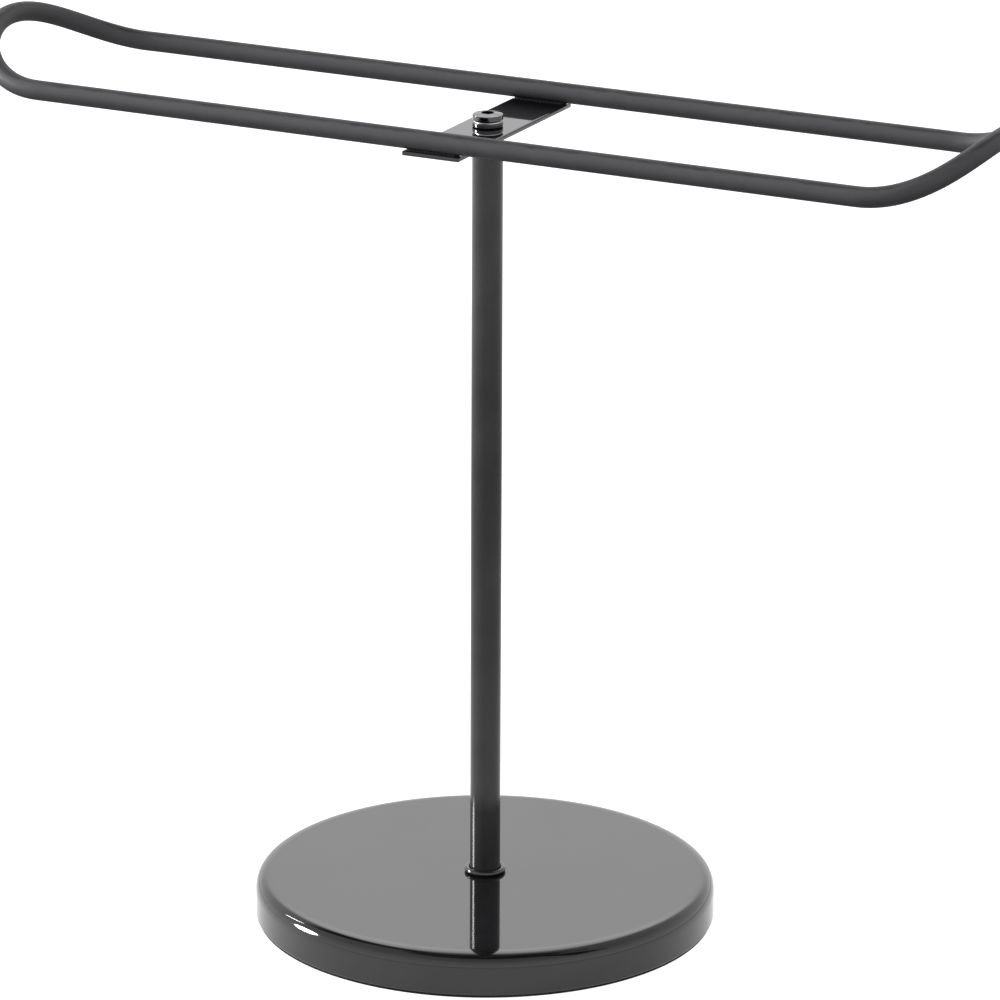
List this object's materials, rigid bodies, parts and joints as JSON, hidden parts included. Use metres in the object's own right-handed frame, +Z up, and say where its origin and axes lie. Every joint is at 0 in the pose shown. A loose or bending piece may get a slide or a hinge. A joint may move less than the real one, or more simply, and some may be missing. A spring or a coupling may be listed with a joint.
{
  "type": "rotating display rack",
  "caption": "Countertop rack: a bent wire loop on a cross plate turns on a slim pole over a weighted round base and holds sunglasses.",
  "frame": {"origin": "on the floor under the pole's axis, at the centre of the round base", "axes": "+Z up along the pole, +X along the two bars of the wire loop, +Y across them"},
  "size_m": [0.2368, 0.1, 0.1904],
  "materials": {
    "gloss_lacquer": "high-gloss black lacquer on steel",
    "satin_black": "satin charcoal-black powder coat on steel wire",
    "pole_black": "semi-gloss black paint on steel rod",
    "weld_black": "thin matt black coat on a rough weld",
    "bare_steel": "bare mild steel, turned",
    "zinc_steel": "zinc-plated steel",
    "black_chrome": "polished dark chrome",
    "rubber": "smooth black rubber",
    "foam_rubber": "fine-celled black foam sheet",
    "nylon": "natural nylon"
  },
  "bodies": {
    "stand": {"base_cover": "gloss_lacquer", "base_weight": "bare_steel", "base_pad": "foam_rubber", "base_bolt": "zinc_steel", "base_flat_washer": "zinc_steel", "base_split_washer": "zinc_steel", "pole": "pole_black", "foot_ring": "rubber", "lower_thrust_washer": "zinc_steel", "upper_washer": "black_chrome", "disc_spring": "zinc_steel", "pivot_screw": "black_chrome"},
    "head": {"pivot_bushing": "nylon", "cross_plate": "gloss_lacquer", "wire_loop": "satin_black", "weld_seams": "weld_black"}
  },
  "joints": [
    {"name": "head_swivel", "type": "hinge", "parent": "stand", "child": "head", "pos_m": [0, 0, 0.1763], "axis": [0, 0, 1], "continuous": true}
  ]
}
